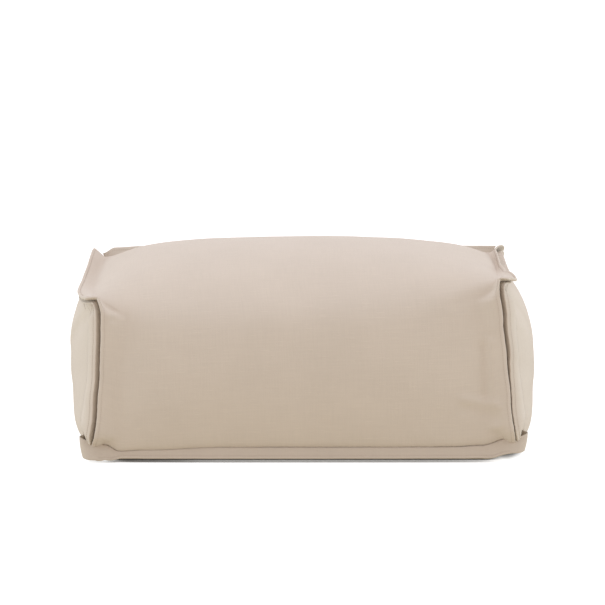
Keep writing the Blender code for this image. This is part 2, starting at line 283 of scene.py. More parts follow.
# --- Sizes and colours that a user may change
class CoverSizes(PropertyGroup):
    """How the cover is sewn."""

    stations: IntProperty(
        name="Stations", description="Divisions round the seams", default=600, min=80)
    divisions: IntProperty(
        name="Divisions", description="Divisions across the wrap panel", default=100, min=20)
    fillet: FloatProperty(
        name="Seam roll", description="How far the cloth rolls into a standing edge",
        default=0.008, unit="LENGTH")
    sweep: FloatProperty(
        name="Flush roll", description="How far the cloth runs out to an edge that lies flush",
        default=0.050, unit="LENGTH")
    ear: FloatProperty(
        name="Corner roll", description="Extra thickness of the turned flaps at the top corners",
        default=0.0045, unit="LENGTH")
    stitch_line: FloatProperty(
        name="Stitch line", description="Distance of the topstitching from the turned edge",
        default=0.0055, unit="LENGTH")
    stitch_pitch: FloatProperty(
        name="Stitch pitch", description="Distance from one stitch to the next",
        default=0.0042, unit="LENGTH")
    thread: FloatProperty(
        name="Thread", description="Thickness of the sewing thread",
        default=0.0007, unit="LENGTH")
    pinch: FloatProperty(
        name="Pinch", description="Share of an edge's thickness that the stitches pull in",
        default=0.35, subtype="FACTOR")
    slack: FloatProperty(
        name="Slack", description="Height of the soft unevenness of the cloth",
        default=0.0012, unit="LENGTH")
    pucker: FloatProperty(
        name="Pucker", description="Height of the gathers beside the seams",
        default=0.0007, unit="LENGTH")


class CanvasLook(PropertyGroup):
    """The cloth's colours and weave."""

    body: FloatVectorProperty(
        name="Canvas", description="Colour of the canvas", subtype="COLOR",
        default=(0.612, 0.543, 0.460))
    # The edge colour is the canvas darkened as painted shade. It goes on the front base flange,
    # which faces down; the rear top flange keeps the canvas colour.
    edge: FloatVectorProperty(
        name="Edges", description="Colour of the flanges", subtype="COLOR",
        default=(0.545, 0.472, 0.388))
    thread: FloatVectorProperty(
        name="Thread", description="Colour of the topstitching", subtype="COLOR",
        default=(0.50, 0.42, 0.35))
    yarn: FloatProperty(
        name="Yarn pitch", description="Distance from one yarn to the next",
        default=0.0011, unit="LENGTH")
    weave_height: FloatProperty(
        name="Weave height", description="Relief of the plain weave",
        default=0.00022, unit="LENGTH")


class StudioLook(PropertyGroup):
    """The floor and the lights."""

    side: FloatProperty(
        name="Side lights", description="Watts each side", default=16.1, unit="POWER")
    above: FloatProperty(
        name="Top light", description="Watts above", default=6.6, unit="POWER")
    air: FloatProperty(name="Surround", description="Strength of the pale room", default=0.91)
    bounce: FloatProperty(
        name="Bounce", description="Light that the floor throws back", default=0.50)


# --- The shape of the filled block
def mix(low, high, share):
    """Blend two numbers."""
    return low + (high - low) * share


def smooth(share):
    """Ease a share in and out, held between 0 and 1."""
    share = min(max(share, 0.0), 1.0)
    return share * share * (3.0 - 2.0 * share)


def on_side(pair, along):
    """Blend a left and right value; along is -1 at the left end, 1 at the right."""
    return mix(pair[0], pair[1], (along + 1.0) / 2.0)


def read_rows(rows, place):
    """Blend the rows of a short table, whose first column is the place."""
    for low, high in zip(rows, rows[1:]):
        if place <= high[0]:
            share = smooth((place - low[0]) / (high[0] - low[0]))
            return [mix(a, b, share) for a, b in zip(low[1:], high[1:])]
    return list(rows[-1][1:])


def read_round(rows, place):
    """Blend the rows of a table that runs once round an end, from 0 to 4."""
    first = (rows[-1][0] - 4.0,) + rows[-1][1:]
    return read_rows((first,) + rows, place % 4.0)


def seam_reach(side, around_y, around_z):
    """Distance of an end seam from the middle, at a place on the unit square."""
    front = on_side(read_rows(SEAM_FRONT, (around_z + 1.0) / 2.0), side)
    runs = (
        (-around_y, front),
        (around_z, on_side(SEAM_TOP, side)),
        (around_y, on_side(SEAM_REAR, side)),
        (-around_z, on_side(SEAM_BASE, side)),
    )
    weights = [max(nearness, 0.0) ** RUN_BLEND for nearness, _ in runs]
    return sum(w * reach for w, (_, reach) in zip(weights, runs)) / sum(weights)


def sharpness(fill, around_y, around_z):
    """Corner sharpness of the section, from the seam (fill 0) to the middle (fill 1)."""
    front = smooth((1.0 - around_y) / 2.0)
    top = smooth((1.0 + around_z) / 2.0)
    middle = (
        front * top / SHARP_FRONT_ROLL
        + (1.0 - front) * top / SHARP_REAR_TOP
        + (1.0 - top) / SHARP_BASE
    )
    return 1.0 / mix(1.0 / SHARP_SEAM, middle, fill)


def body_point(along, across, height):
    """Place of a point of the cube (each from -1 to 1) on the filled body."""
    reach = max(abs(across), abs(height), TINY)
    around_y = across / reach
    around_z = height / reach
    end = 0 if along < 0.0 else 1
    lost = mix(abs(along) ** SWELL_POWER[end], along ** 2, SWELL_SLOPE[end])
    fill = max(0.0, 1.0 - lost)
    power = sharpness(fill, around_y, around_z)
    if abs(along) >= ON_FACE:
        power = 1.0 / mix(1.0 / SHARP_END_PANEL, 1.0 / SHARP_SEAM, reach ** FACE_POWER)
    rounding = (abs(around_y) ** power + abs(around_z) ** power) ** (-1.0 / power)
    section_y = around_y * rounding
    section_z = around_z * rounding

    top = mix(on_side(TOP_FRONT, along), on_side(TOP_REAR, along), (section_y + 1.0) / 2.0)
    in_front = max(-section_y, 0.0) ** FACE_POWER
    behind = max(section_y, 0.0) ** FACE_POWER
    on_top = max(section_z, 0.0)
    rim = read_rows(RIM_FRONT, along)[0] if section_y < 0.0 else RIM_REAR
    rim = mix(RIM_ENDS, rim, section_y ** FACE_POWER)
    y = section_y * HALF_DEPTH
    z = rim + (top - rim) * (section_z + 1.0) / 2.0
    if height <= -ON_FACE:
        edge = max(abs(along), abs(across))
        z -= rim * (1.0 - smooth((edge - BASE_FLAT) / (1.0 - BASE_FLAT)))

    y += fill * (1.0 - section_z ** 2) * (REAR_BULGE * behind - FRONT_BULGE * in_front)
    z += fill * (1.0 - abs(section_y) ** CROWN_POWER) * CROWN * on_top

    left = -seam_reach(-1.0, around_y, around_z)
    right = seam_reach(1.0, around_y, around_z)
    x = mix(left, right, (along + 1.0) / 2.0)
    if abs(along) >= ON_FACE:
        y *= reach
        z = mix(MID_HEIGHT[end], z, reach)
        x = mix(math.copysign(END_FLAT, along), x, reach ** 2)
        sagged = mix(reach ** END_SAG, reach ** END_TAPER_POWER, END_TAPER)
        lost = mix(reach ** END_FULLNESS, sagged, smooth(-around_z))
        x += math.copysign(END_BULGE * (1.0 - lost), along)
    return Vector((x, y, max(0.0, z - SETTLE)))


def square_place(place):
    """Point on the unit square at a place from 0 to 4 round an end."""
    run = int(place) % 4
    share = 2.0 * (place - int(place)) - 1.0
    return ((-1.0, share), (share, 1.0), (1.0, -share), (-share, -1.0))[run]


def stations_round(sizes):
    """Places round an end, gathered towards its four corners."""
    places = []
    for i in range(sizes.stations):
        place = 4.0 * i / sizes.stations
        run = math.floor(place)
        share = place - run
        gathered = CORNERWARD * math.sin(2.0 * math.pi * share) / (2.0 * math.pi)
        places.append(run + share - gathered)
    return places


def seam_sides(seam, along_seam, faces, turn):
    """A seam's point, its run and the ways that its two faces look."""
    start = body_point(*seam)
    run = (body_point(*along_seam) - start).normalized()
    leaving = []
    for face in faces:
        way = body_point(*face) - start
        leaving.append((way - run * way.dot(run)).normalized())
    looks = (run.cross(leaving[0]) * turn, leaving[1].cross(run) * turn)
    return start, run, looks


def clear_root(start, run, looks, step, way, aside):
    """Start of an edge sewn into a seam, stepped out until it clears one face."""
    thickness_way = way.cross(run).normalized() * (LIP_THICK / 2.0)
    outs = []
    for look in looks:
        room = SEAM_GAP + abs(thickness_way.dot(look))
        if step.dot(look) > LEAST_SLOPE:
            outs.append((room - aside.dot(look)) / step.dot(look))
    return start + aside + step * max(min(outs), 0.0)


# --- The turned edges
ROLL_STEPS = 6
FACE_STEPS = 9
TIP_STEPS = 5
END_STEPS = 40
ROLL_SHARE = 0.30  # share of a standing edge's width that the roll takes
ROLL_PULL = 0.42  # how far the roll keeps each of the ways that it joins
LOOSE_POWER = 2.5  # higher keeps the cloth loose until closer to the edge
CAP_REACH = {"wrap": 0.36, "end": 0.361}  # where the hidden backs of the panels close
EAR_PLACE = 1.015  # where the corner flaps are thickest
EAR_SPREAD = 0.045
STITCH_DENT = 0.0018  # half width of the dent that the stitches pull in
CORNERWARD = 0.6  # how far the stations gather towards the four corners
SEAMWARD = 0.7  # how far the divisions of the wrap gather towards its seams

# Waves: how many to each unit of place, and their share of the height. The third
# entry is their seed, or the way that a piece's own seed moves them.
EDGE_WAVES = ((22.0, 1.0), (68.0, 0.6))
FLANGE_WAVES = ((14.0, 1.0, 5.0), (45.0, 0.5, 9.0))
SLACK_WAVES = ((7.0, 1.0, Vector((1.0, 0.0, 0.0))), (19.0, 0.4, Vector((0.0, 1.0, 0.0))))
PRESSED = 0.004  # lower than this the cloth lies pressed, with no folds
WRAP_SEED = 3.0
END_SEEDS = {"left": 11.0, "right": 12.0}

# Place round an end, and how flush the panel's cloth runs out to its edge there:
# 0 leaves the edge standing beyond a soft roll.
FLUSH = (
    (0.12, 1.0),
    (0.86, 1.0),
    (0.985, 0.0),
    (3.94, 0.0),
    (4.00, 0.6),
)


def pinched(share, width, sizes):
    """Share of an edge's thickness that is left, at a share of its width."""
    off_line = (1.0 - share) * width - sizes.stitch_line
    return 1.0 - sizes.pinch * math.exp(-(off_line / STITCH_DENT) ** 2)


class TurnedEdge:
    """A turned edge at one place round an end: its root, way, width and look."""

    def __init__(self, end, name, place, sizes):
        side = -1.0 if end == "left" else 1.0
        across, height = square_place(place)
        start, run, looks = seam_sides(
            (side, across, height),
            (side, *square_place(place + NEXT_PLACE)),
            ((side * INTO_FACE, across, height),
             (side, across * INTO_FACE, height * INTO_FACE)),
            side)
        ways = {}
        for piece in ("wrap_lip", "end_lip"):
            out, forward, up, width = read_round(LIPS[f"{piece}_{end}"], place)
            ways[piece] = (Vector((side * out, -forward, up)).normalized(), width)
        middle = ways["wrap_lip"][0] + ways["end_lip"][0]
        middle = (middle - run * middle.dot(run)).normalized()
        aside = middle.cross(run) * side * LIP_APART
        if name == "end_lip":
            aside = -aside
        self.sizes = sizes
        self.way, self.width = ways[name]
        self.root = clear_root(start, run, looks, middle, self.way, aside)
        look = self.way.cross(run).normalized()
        self.look = look if look.dot(aside) > 0.0 else -look
        self.flush = read_round(FLUSH, place)[0]
        self.half = LIP_THICK / 2.0
        if name == "wrap_lip":
            self.half += sizes.ear / 2.0 * math.exp(-((place - EAR_PLACE) / EAR_SPREAD) ** 2)
        self.wave = sizes.pucker * sum(
            share * noise.noise(Vector((place * closeness, side, len(name))))
            for closeness, share in EDGE_WAVES)

    def point(self, share, level):
        """Point at a share of the width, level above (or below) the middle sheet."""
        level += self.wave * share
        point = self.root + self.way * (self.width * share) + self.look * level
        point.z = max(point.z, CLEAR_FLOOR)
        return point

    def face(self, share, side):
        """Point on a face of the edge, pulled in along the stitches."""
        return self.point(share, side * self.half * pinched(share, self.width, self.sizes))

    def tip(self, first, last, steps):
        """Points round the turned edge, between two angles from the outer face."""
        flat = 1.0 - self.half / self.width
        turns = [mix(first, last, step / steps) for step in range(steps)]
        return [self.point(flat + math.sin(turn) * self.half / self.width,
                           math.cos(turn) * self.half) for turn in turns]

    def profile(self, body_side, body_way):
        """Points from beside the panel's cloth, over the turned edge, to the root."""
        flat = 1.0 - self.half / self.width
        outer = [self.face(mix(ROLL_SHARE, flat, step / FACE_STEPS), 1.0)
                 for step in range(FACE_STEPS)]
        standing = rolled(body_side, body_way, outer[0], self.way, ROLL_STEPS) + outer
        standing += self.tip(0.0, math.pi, TIP_STEPS)
        swept = rolled(body_side, body_way, self.tip(math.pi / 2.0, 0.0, 1)[0],
                       -self.look, ROLL_STEPS + FACE_STEPS)
        swept += self.tip(math.pi / 2.0, math.pi, TIP_STEPS)
        inner = [self.face(mix(flat, 0.0, step / ROLL_STEPS), -1.0)
                 for step in range(ROLL_STEPS + 1)]
        return [a.lerp(b, self.flush) for a, b in zip(standing, swept)] + inner


def rolled(body_side, body_way, edge_side, edge_way, steps):
    """Points between the cloth of a panel and its turned edge, both ends left out."""
    reach = (edge_side - body_side).length * ROLL_PULL
    pull = body_side + body_way * reach
    push = edge_side - edge_way * reach
    points = []
    for step in range(1, steps):
        t = step / steps
        u = 1.0 - t
        points.append(body_side * u ** 3 + pull * (3 * u * u * t)
                      + push * (3 * u * t * t) + edge_side * t ** 3)
    return points


def roll_start(place, half, sizes):
    """Share of a half cube at which a panel's cloth starts to run out to its edge."""
    return 1.0 - mix(sizes.fillet, sizes.sweep, read_round(FLUSH, place)[0]) / half


def panel_edge(end, name, place, body_side, inner, sizes):
    """Profile of one turned edge and how loose its cloth is, from the body outwards."""
    edge = TurnedEdge(end, name, place, sizes)
    points = edge.profile(body_side, (body_side - inner).normalized())
    swept = ROLL_STEPS + FACE_STEPS
    loose = [edge.flush * (1.0 - smooth((step / swept) ** LOOSE_POWER))
             for step in range(1, len(points) + 1)]
    return points, loose


def wrap_profile(place, sizes):
    """Points across the wrap panel at a place, left root to right root, with caps."""
    across, height = square_place(place)
    near = roll_start(place, END_FLAT, sizes)
    sides = []
    for end, side in (("left", -1.0), ("right", 1.0)):
        sides.append(panel_edge(
            end, "wrap_lip", place,
            body_point(side * near, across, height),
            body_point(side * (near - BESIDE), across, height), sizes))
    (left, left_loose), (right, right_loose) = sides
    body = []
    for step in range(sizes.divisions + 1):
        along = mix(-1.0, 1.0, step / sizes.divisions)
        along = mix(along, math.sin(along * math.pi / 2.0), SEAMWARD) * near
        body.append(body_point(along, across, height))
    cap_left = Vector((-CAP_REACH["wrap"], 0.0, MID_HEIGHT[0]))
    cap_right = Vector((CAP_REACH["wrap"], 0.0, MID_HEIGHT[1]))
    points = [cap_left] + left[::-1] + body + right + [cap_right]
    loose = [0.0] + left_loose[::-1] + [1.0] * len(body) + right_loose + [0.0]
    return points, loose


def end_profile(end, place, sizes):
    """Points across an end panel at a place, from its middle over its edge to its back."""
    side = -1.0 if end == "left" else 1.0
    across, height = square_place(place)
    near = roll_start(place, HALF_DEPTH, sizes)
    body = [body_point(side, TINY, TINY)]
    for step in range(1, END_STEPS + 1):
        reach = near * math.sin(step / END_STEPS * math.pi / 2.0)
        body.append(body_point(side, across * reach, height * reach))
    inner = near - BESIDE
    edge, loose = panel_edge(end, "end_lip", place, body[-1],
                             body_point(side, across * inner, height * inner), sizes)
    back = Vector((side * CAP_REACH["end"], 0.0, MID_HEIGHT[0 if side < 0.0 else 1]))
    return body + edge + [back], [1.0] * len(body) + loose + [0.0]


# --- Making the meshes
def add_piece(name, shape):
    """A smooth object in the scene, made from a bmesh that is then let go."""
    mesh = bpy.data.meshes.new(name)
    shape.to_mesh(mesh)
    shape.free()
    mesh.shade_smooth()
    piece = bpy.data.objects.new(name, mesh)
    bpy.context.scene.collection.objects.link(piece)
    return piece


def cloth_over(sections, closed_round, closed_across, loose=None):
    """A grid of cloth laid over sections, and which section and point each corner is."""
    count = len(sections)
    width = len(sections[0])
    rounds = count if closed_round else count - 1
    acrosses = width if closed_across else width - 1
    cloth = bmesh.new()
    loose_layer = cloth.verts.layers.float.new("loose")
    bmesh.ops.create_grid(cloth, x_segments=rounds, y_segments=acrosses, size=1.0)
    grid = {}
    for vertex in cloth.verts:
        i = round((vertex.co.x + 1.0) / 2.0 * rounds)
        j = round((vertex.co.y + 1.0) / 2.0 * acrosses)
        grid[vertex] = (i, j)
        vertex.co = sections[i % count][j % width]
        if loose:
            vertex[loose_layer] = loose[i % count][j]
    return cloth, grid


def close_up(name, cloth, grid, flat_place):
    """Lay each face corner out on the flat cloth, in metres, and close the skin."""
    layer = cloth.loops.layers.uv.new("cloth")
    for face in cloth.faces:
        for loop in face.loops:
            loop[layer].uv = flat_place(loop.vert.co, *grid[loop.vert])
    bmesh.ops.remove_doubles(cloth, verts=cloth.verts, dist=WELD)
    bmesh.ops.holes_fill(cloth, edges=cloth.edges)
    bmesh.ops.recalc_face_normals(cloth, faces=cloth.faces)
    return add_piece(name, cloth)


def distances_along(points):
    """Distance along a row of points, up to each of them."""
    distances = [0.0]
    for here, after in zip(points, points[1:]):
        distances.append(distances[-1] + (after - here).length)
    return distances


def sew(name, profiles, middle_steps=0):
    """Sew a ring of profiles into one skin.

    Its cloth is laid out by the distance across and round, but an end panel's
    middle is laid out flat, by height and depth.
    """
    sections, loose = zip(*profiles)
    middle = len(sections[0]) // 2
    rounds = distances_along([points[middle] for points in (*sections, sections[0])])
    acrosses = []
    for points in sections:
        run = distances_along(points)
        acrosses.append([value - run[middle] for value in run])

    def flat_place(point, i, j):
        if middle_steps and j <= middle_steps:
            return point.z, point.y
        return acrosses[i % len(sections)][j], rounds[i]

    cloth, grid = cloth_over(sections, True, False, loose)
    return close_up(name, cloth, grid, flat_place)


def values_of(items, key, width):
    """One kind of value of every item, as rows of an array this wide."""
    values = np.empty(len(items) * width)
    items.foreach_get(key, values)
    return values.reshape(-1, width)


def settle_cloth(piece, sizes, seed):
    """Raise the folds, the gathers and the slack on the loose cloth of a piece."""
    mesh = piece.data
    points = values_of(mesh.vertices, "co", 3)
    looks = values_of(mesh.vertices, "normal", 3)
    loose = values_of(mesh.attributes["loose"].data, "value", 1)[:, 0]
    lift = np.zeros(len(points))
    for start, end, half_width, height in FOLDS:
        a = np.array(start)
        b = np.array(end)
        run = b - a
        share = np.clip((points - a) @ run / (run @ run), 0.0, 1.0)
        off = np.linalg.norm(points - (a + share[:, None] * run), axis=1)
        lift += height * np.exp(-(off / half_width) ** 2)
    for index in np.nonzero(loose > 0.0)[0]:
        place = Vector(points[index])
        for closeness, share, way in SLACK_WAVES:
            lift[index] += share * sizes.slack * noise.noise(place * closeness + way * seed)
    lift[points[:, 2] < PRESSED] = 0.0
    points += looks * (lift * loose)[:, None]
    points[:, 2] = np.maximum(points[:, 2], 0.0)
    mesh.vertices.foreach_set("co", points.ravel())
    mesh.update()


# --- The cross flanges
def flange_root(across_x, across, way, rows):
    """Root, way, look, width and splay of a cross flange at a place from -1 to 1."""
    forward, up = way
    way = Vector((0.0, -forward, up)).normalized()
    half = seam_reach(math.copysign(1.0, across_x), across, across) - FLANGE_END_GAP
    along = across_x * half / (half + FLANGE_END_GAP)
    start, run, looks = seam_sides(
        (along, across, across), (along + NEXT_ALONG, across, across),
        ((along, across, across * INTO_FACE), (along, across * INTO_FACE, across)), 1.0)
    root = clear_root(start, run, looks, way, way, Vector())
    if across < 0.0:
        root += FRONT_FLANGE_SHIFT
    width, splay = read_rows(rows, across_x)
    return root, way, way.cross(run).normalized(), width, splay


def turned_back(section, side):
    """Sections that carry a flange round a front corner and back along the end."""
    corner_x = section[0].x + side * TURN_OUT
    corner_y = section[0].y + TURN_RADIUS
    root_z = max(point.z for point in section)
    edge_z = min(point.z for point in section)
    turned = []
    for step in range(TURN_STEPS + BACK_STEPS):
        turn = min((step + 1) / TURN_STEPS, 1.0) * math.pi / 2.0
        back = max(0.0, (step + 1 - TURN_STEPS) / BACK_STEPS)
        ring = []
        for point in section:
            share = (root_z - point.z) / (root_z - edge_z)
            forward = corner_y - point.y
            level = forward - mix(corner_y - section[0].y, corner_y - section[-1].y, 0.5)
            out = mix(*TURN_WIDE, share) + level * TURN_THIN * (1.0 - share)
            out *= 1.0 - TURN_IN * back ** 2
            narrowed = mix(point.z, root_z, TURN_NARROW * back ** TURN_NARROW_POWER)
            ring.append(Vector((
                corner_x + side * out * math.sin(turn),
                corner_y - forward * math.cos(turn) + TURN_BACK * back,
                narrowed + mix(*TURN_RISE, share) * math.sin(turn) ** 2)))
        turned.append(ring)
    return turned


def flange_path(width, sizes):
    """Section of a doubled strip: share of its width and level, face, edge and face."""
    half_thick = LIP_THICK / 2.0
    flat = 1.0 - half_thick / width
    face = [mix(0.0, flat, step / FLANGE_STEPS) for step in range(FLANGE_STEPS + 1)]
    back = [mix(flat, 0.0, step / FLANGE_STEPS) for step in range(FLANGE_STEPS + 1)]
    turns = [math.pi * step / TIP_STEPS for step in range(1, TIP_STEPS)]
    path = [(share, half_thick * pinched(share, width, sizes)) for share in face]
    path += [(flat + math.sin(turn) * half_thick / width, half_thick * math.cos(turn))
             for turn in turns]
    path += [(share, -half_thick * pinched(share, width, sizes)) for share in back]
    return path


def make_flange(name, across, way, rows, sizes):
    """A stitched strip along a cross seam, between the two ends."""
    sections = []
    for i in range(FLANGE_STATIONS + 1):
        across_x = mix(-1.0, 1.0, i / FLANGE_STATIONS)
        root, out, look, width, splay = flange_root(across_x, across, way, rows)
        wave = sum(share * sizes.pucker * noise.noise(Vector((across_x * closeness, across, seed)))
                   for closeness, share, seed in FLANGE_WAVES)
        section = []
        for share, level in flange_path(width, sizes):
            point = root + out * width * share + look * (level + wave * share)
            point.x += math.copysign(splay * share, across_x)
            point.z = max(point.z, CLEAR_FLOOR)
            section.append(point)
        sections.append(section)
    if across < 0.0:
        sections = turned_back(sections[0], -1.0)[::-1] + sections
        sections += turned_back(sections[-1], 1.0)
    strip, grid = cloth_over(sections, False, True)
    return close_up(name, strip, grid,
                    lambda point, i, j: (sections[i][0].x, j * FLANGE_UV_STEP))


# --- Topstitching
STITCH_SAMPLES = 700
FEEL = 0.030  # how far off the cloth a stitch's place is felt for
LOST = 0.120  # a line of stitches breaks off where its places are this far apart
STITCH_SHARE = 0.66  # share of the pitch that the thread lies on top
STITCH_RINGS = ((0.00, 0.25), (0.12, 0.80), (0.50, 1.00), (0.88, 0.80), (1.00, 0.25))
STITCH_SIDES = 6
STITCHED = 0.985  # the flanges are stitched up to this near to their ends


def surface_of(name):
    """The finished cloth of a piece, ready to be felt with a ray."""
    return BVHTree.FromObject(bpy.data.objects[name], bpy.context.evaluated_depsgraph_get())


def on_cloth(cloth, point, look):
    """Where a ray against the way that the cloth looks meets it, and how it looks there."""
    place, normal, _, _ = cloth.ray_cast(point + look * FEEL, -look)
    if place is None:
        return None
    return place, normal


def edge_stitch(cloth, edge):
    """Place of the stitch line of a turned edge, on its outer face."""
    off_edge = edge.sizes.stitch_line
    if edge.flush > 0.5:
        return on_cloth(cloth, edge.point(1.0, off_edge), edge.way)
    return on_cloth(cloth, edge.point(1.0 - off_edge / edge.width, edge.half), edge.look)


def flange_stitch(cloth, across_x, across, way, rows, sizes):
    """Place of the stitch line of a cross flange, on the face that shows."""
    root, way, look, width, splay = flange_root(across_x, across, way, rows)
    share = 1.0 - sizes.stitch_line / width
    point = root + way * (width * share)
    point.x += math.copysign(splay * share, across_x)
    return on_cloth(cloth, point, look if look.y < 0.0 else -look)


def sew_line(thread, line, sizes):
    """Stitches of one length along a line of places on the cloth."""
    walked = 0.0
    following = 0.0
    for here, after in zip(line, line[1:]):
        if here is None or after is None:
            continue
        run = after[0] - here[0]
        if run.length > LOST or run.length < TINY:
            continue
        while following < walked + run.length:
            start = here[0] + run * ((following - walked) / run.length)
            add_stitch(thread, start, run.normalized(), here[1], sizes)
            following += sizes.stitch_pitch
        walked += run.length


def add_stitch(thread, start, run, look, sizes):
    """One stitch: a short rounded thread that lies on the cloth."""
    length = sizes.stitch_pitch * STITCH_SHARE
    aside = run.cross(look).normalized()
    turns = [2.0 * math.pi * step / STITCH_SIDES for step in range(STITCH_SIDES)]
    rings = []
    for share, girth in STITCH_RINGS:
        radius = sizes.thread * 0.5 * girth
        middle = start + run * (length * share) + look * radius
        rings.append([thread.verts.new(
            middle + (aside * math.cos(turn) + look * math.sin(turn)) * radius)
            for turn in turns])
    thread.faces.new(rings[0][::-1])
    thread.faces.new(rings[-1])
    for lower, upper in zip(rings, rings[1:]):
        for step in range(STITCH_SIDES):
            after = (step + 1) % STITCH_SIDES
            thread.faces.new((lower[step], lower[after], upper[after], upper[step]))


# --- Materials
NODE_STEP = (220.0, 300.0)
NODE_ROWS = 4
WARP_STREAKS = (13.0, 300.0, 1.0)  # streaks in each metre of cloth, across and round
WEFT_STREAKS = (420.0, 20.0, 1.0)
SLUB_STREAKS = (38.0, 420.0, 1.0)
SLUB_RANGE = (0.74, 0.84)  # how rare the slubs are, and how soft their edges
CROSSING_RELIEF = 0.35  # shares of the weave's height
SLUB_RELIEF = 0.5
SLUB_SHADE = 0.035
YARN_SHADES = (0.945, 1.055)
MOTTLE_SHADES = (0.965, 1.035)
CLOTH_ROUGHNESS = (0.84, 0.94)
TWIST_SHADES = (0.82, 1.18)


def add_node(tree, kind, inputs=None, **settings):
    """A node with its settings; each input takes a value, or a socket that feeds it."""
    column, row = divmod(len(tree.nodes), NODE_ROWS)
    node = tree.nodes.new(kind)
    node.location = (column * NODE_STEP[0], -row * NODE_STEP[1])
    for key, value in settings.items():
        setattr(node, key, value)
    feed(tree, node, inputs or {})
    return node


def feed(tree, node, inputs):
    """Set a node's inputs to values, or link them to sockets."""
    for key, value in inputs.items():
        if isinstance(value, bpy.types.NodeSocket):
            tree.links.new(value, node.inputs[key])
        else:
            node.inputs[key].default_value = value


def arithmetic(tree, operation, first, second=0.0):
    """Result of a Math node whose inputs are sockets or numbers."""
    return add_node(tree, "ShaderNodeMath", {0: first, 1: second},
                    operation=operation).outputs[0]


def ranged(tree, value, low, high):
    """A value from 0 to 1 brought between two others."""
    return add_node(tree, "ShaderNodeMapRange",
                    {"Value": value, "To Min": low, "To Max": high}).outputs[0]


def streaks(tree, cloth, stretch, detail):
    """Noise drawn out along the yarns that run one way."""
    spread = add_node(tree, "ShaderNodeMapping", {"Vector": cloth, "Scale": stretch})
    return add_node(tree, "ShaderNodeTexNoise",
                    {"Vector": spread.outputs[0], "Scale": 1.0, "Detail": detail},
                    noise_dimensions="2D").outputs[0]


def tinted(tree, colour, shade):
    """A colour made lighter and darker by a varying shade."""
    return add_node(tree, "ShaderNodeVectorMath", {0: colour, "Scale": shade},
                    operation="SCALE").outputs[0]


def new_material(name, colour):
    """A Principled material, its node tree and its shader."""
    material = bpy.data.materials.new(name)
    material.use_nodes = True
    material.diffuse_color = (*colour, 1.0)
    tree = material.node_tree
    return material, tree, tree.nodes["Principled BSDF"]


def plain_weave():
    """Node group: the relief and the uneven yarns of a plain-woven canvas."""
    name = "plain_weave"
    if name in bpy.data.node_groups:
        return bpy.data.node_groups[name]
    tree = bpy.data.node_groups.new(name, "ShaderNodeTree")
    face = tree.interface
    face.new_socket("Cloth", in_out="INPUT", socket_type="NodeSocketVector")
    pitch = face.new_socket("Yarn Pitch", in_out="INPUT", socket_type="NodeSocketFloat")
    pitch.default_value = 0.001
    for output in ("Height", "Yarns", "Slubs"):
        face.new_socket(output, in_out="OUTPUT", socket_type="NodeSocketFloat")
    start = add_node(tree, "NodeGroupInput")
    cloth = start.outputs["Cloth"]
    split = add_node(tree, "ShaderNodeSeparateXYZ", {0: cloth})
    waves = []
    for axis in "XY":
        turns = arithmetic(tree, "DIVIDE", split.outputs[axis], start.outputs["Yarn Pitch"])
        waves.append(arithmetic(tree, "SINE", arithmetic(tree, "MULTIPLY", turns, math.pi)))
    crossing = arithmetic(tree, "MULTIPLY", *waves)
    yarns = arithmetic(tree, "ADD", streaks(tree, cloth, WARP_STREAKS, 2.0),
                       streaks(tree, cloth, WEFT_STREAKS, 2.0))
    yarns = arithmetic(tree, "MULTIPLY", yarns, 0.5)
    slubs = add_node(tree, "ShaderNodeMapRange", {
        "Value": streaks(tree, cloth, SLUB_STREAKS, 0.0),
        "From Min": SLUB_RANGE[0], "From Max": SLUB_RANGE[1]}).outputs[0]
    height = arithmetic(tree, "MULTIPLY", crossing, CROSSING_RELIEF)
    height = arithmetic(tree, "ADD", height, yarns)
    height = arithmetic(tree, "ADD", height,
                        arithmetic(tree, "MULTIPLY", slubs, SLUB_RELIEF))
    add_node(tree, "NodeGroupOutput", {"Height": height, "Yarns": yarns, "Slubs": slubs})
    return tree


def canvas(name, colour, look):
    """Matt sand canvas with its weave, uneven yarns, slubs and faint mottling."""
    material, tree, shader = new_material(name, colour)
    cloth = add_node(tree, "ShaderNodeUVMap", uv_map="cloth").outputs[0]
    weave = add_node(tree, "ShaderNodeGroup", node_tree=plain_weave())
    feed(tree, weave, {"Cloth": cloth, "Yarn Pitch": look.yarn})
    yarns = weave.outputs["Yarns"]
    mottle = add_node(tree, "ShaderNodeTexNoise",
                      {"Vector": cloth, "Scale": 9.0, "Detail": 3.0},
                      noise_dimensions="2D").outputs[0]
    shade = arithmetic(tree, "MULTIPLY", ranged(tree, mottle, *MOTTLE_SHADES),
                       ranged(tree, yarns, *YARN_SHADES))
    shade = arithmetic(tree, "ADD", shade,
                       arithmetic(tree, "MULTIPLY", weave.outputs["Slubs"], SLUB_SHADE))
    bump = add_node(tree, "ShaderNodeBump", {
        "Strength": 1.0, "Distance": look.weave_height, "Height": weave.outputs["Height"]})
    feed(tree, shader, {
        "Base Color": tinted(tree, colour, shade),
        "Normal": bump.outputs[0],
        "Roughness": ranged(tree, yarns, *CLOTH_ROUGHNESS),
        "Specular IOR Level": 0.25,
        "Sheen Weight": 0.25,
        "Sheen Roughness": 0.45,
        "Sheen Tint": (1.0, 0.97, 0.94, 1.0)})
    return material


def get_canvas(context, name):
    """The canvas of the panels, or its copy darkened as painted shade for the front base flange,
    made once.
    """
    woven = f"{name}_woven"
    if woven in bpy.data.materials:
        return bpy.data.materials[woven]
    look = context.scene.pouf_canvas
    return canvas(woven, tuple(look.body if name == "sand_canvas" else look.edge), look)


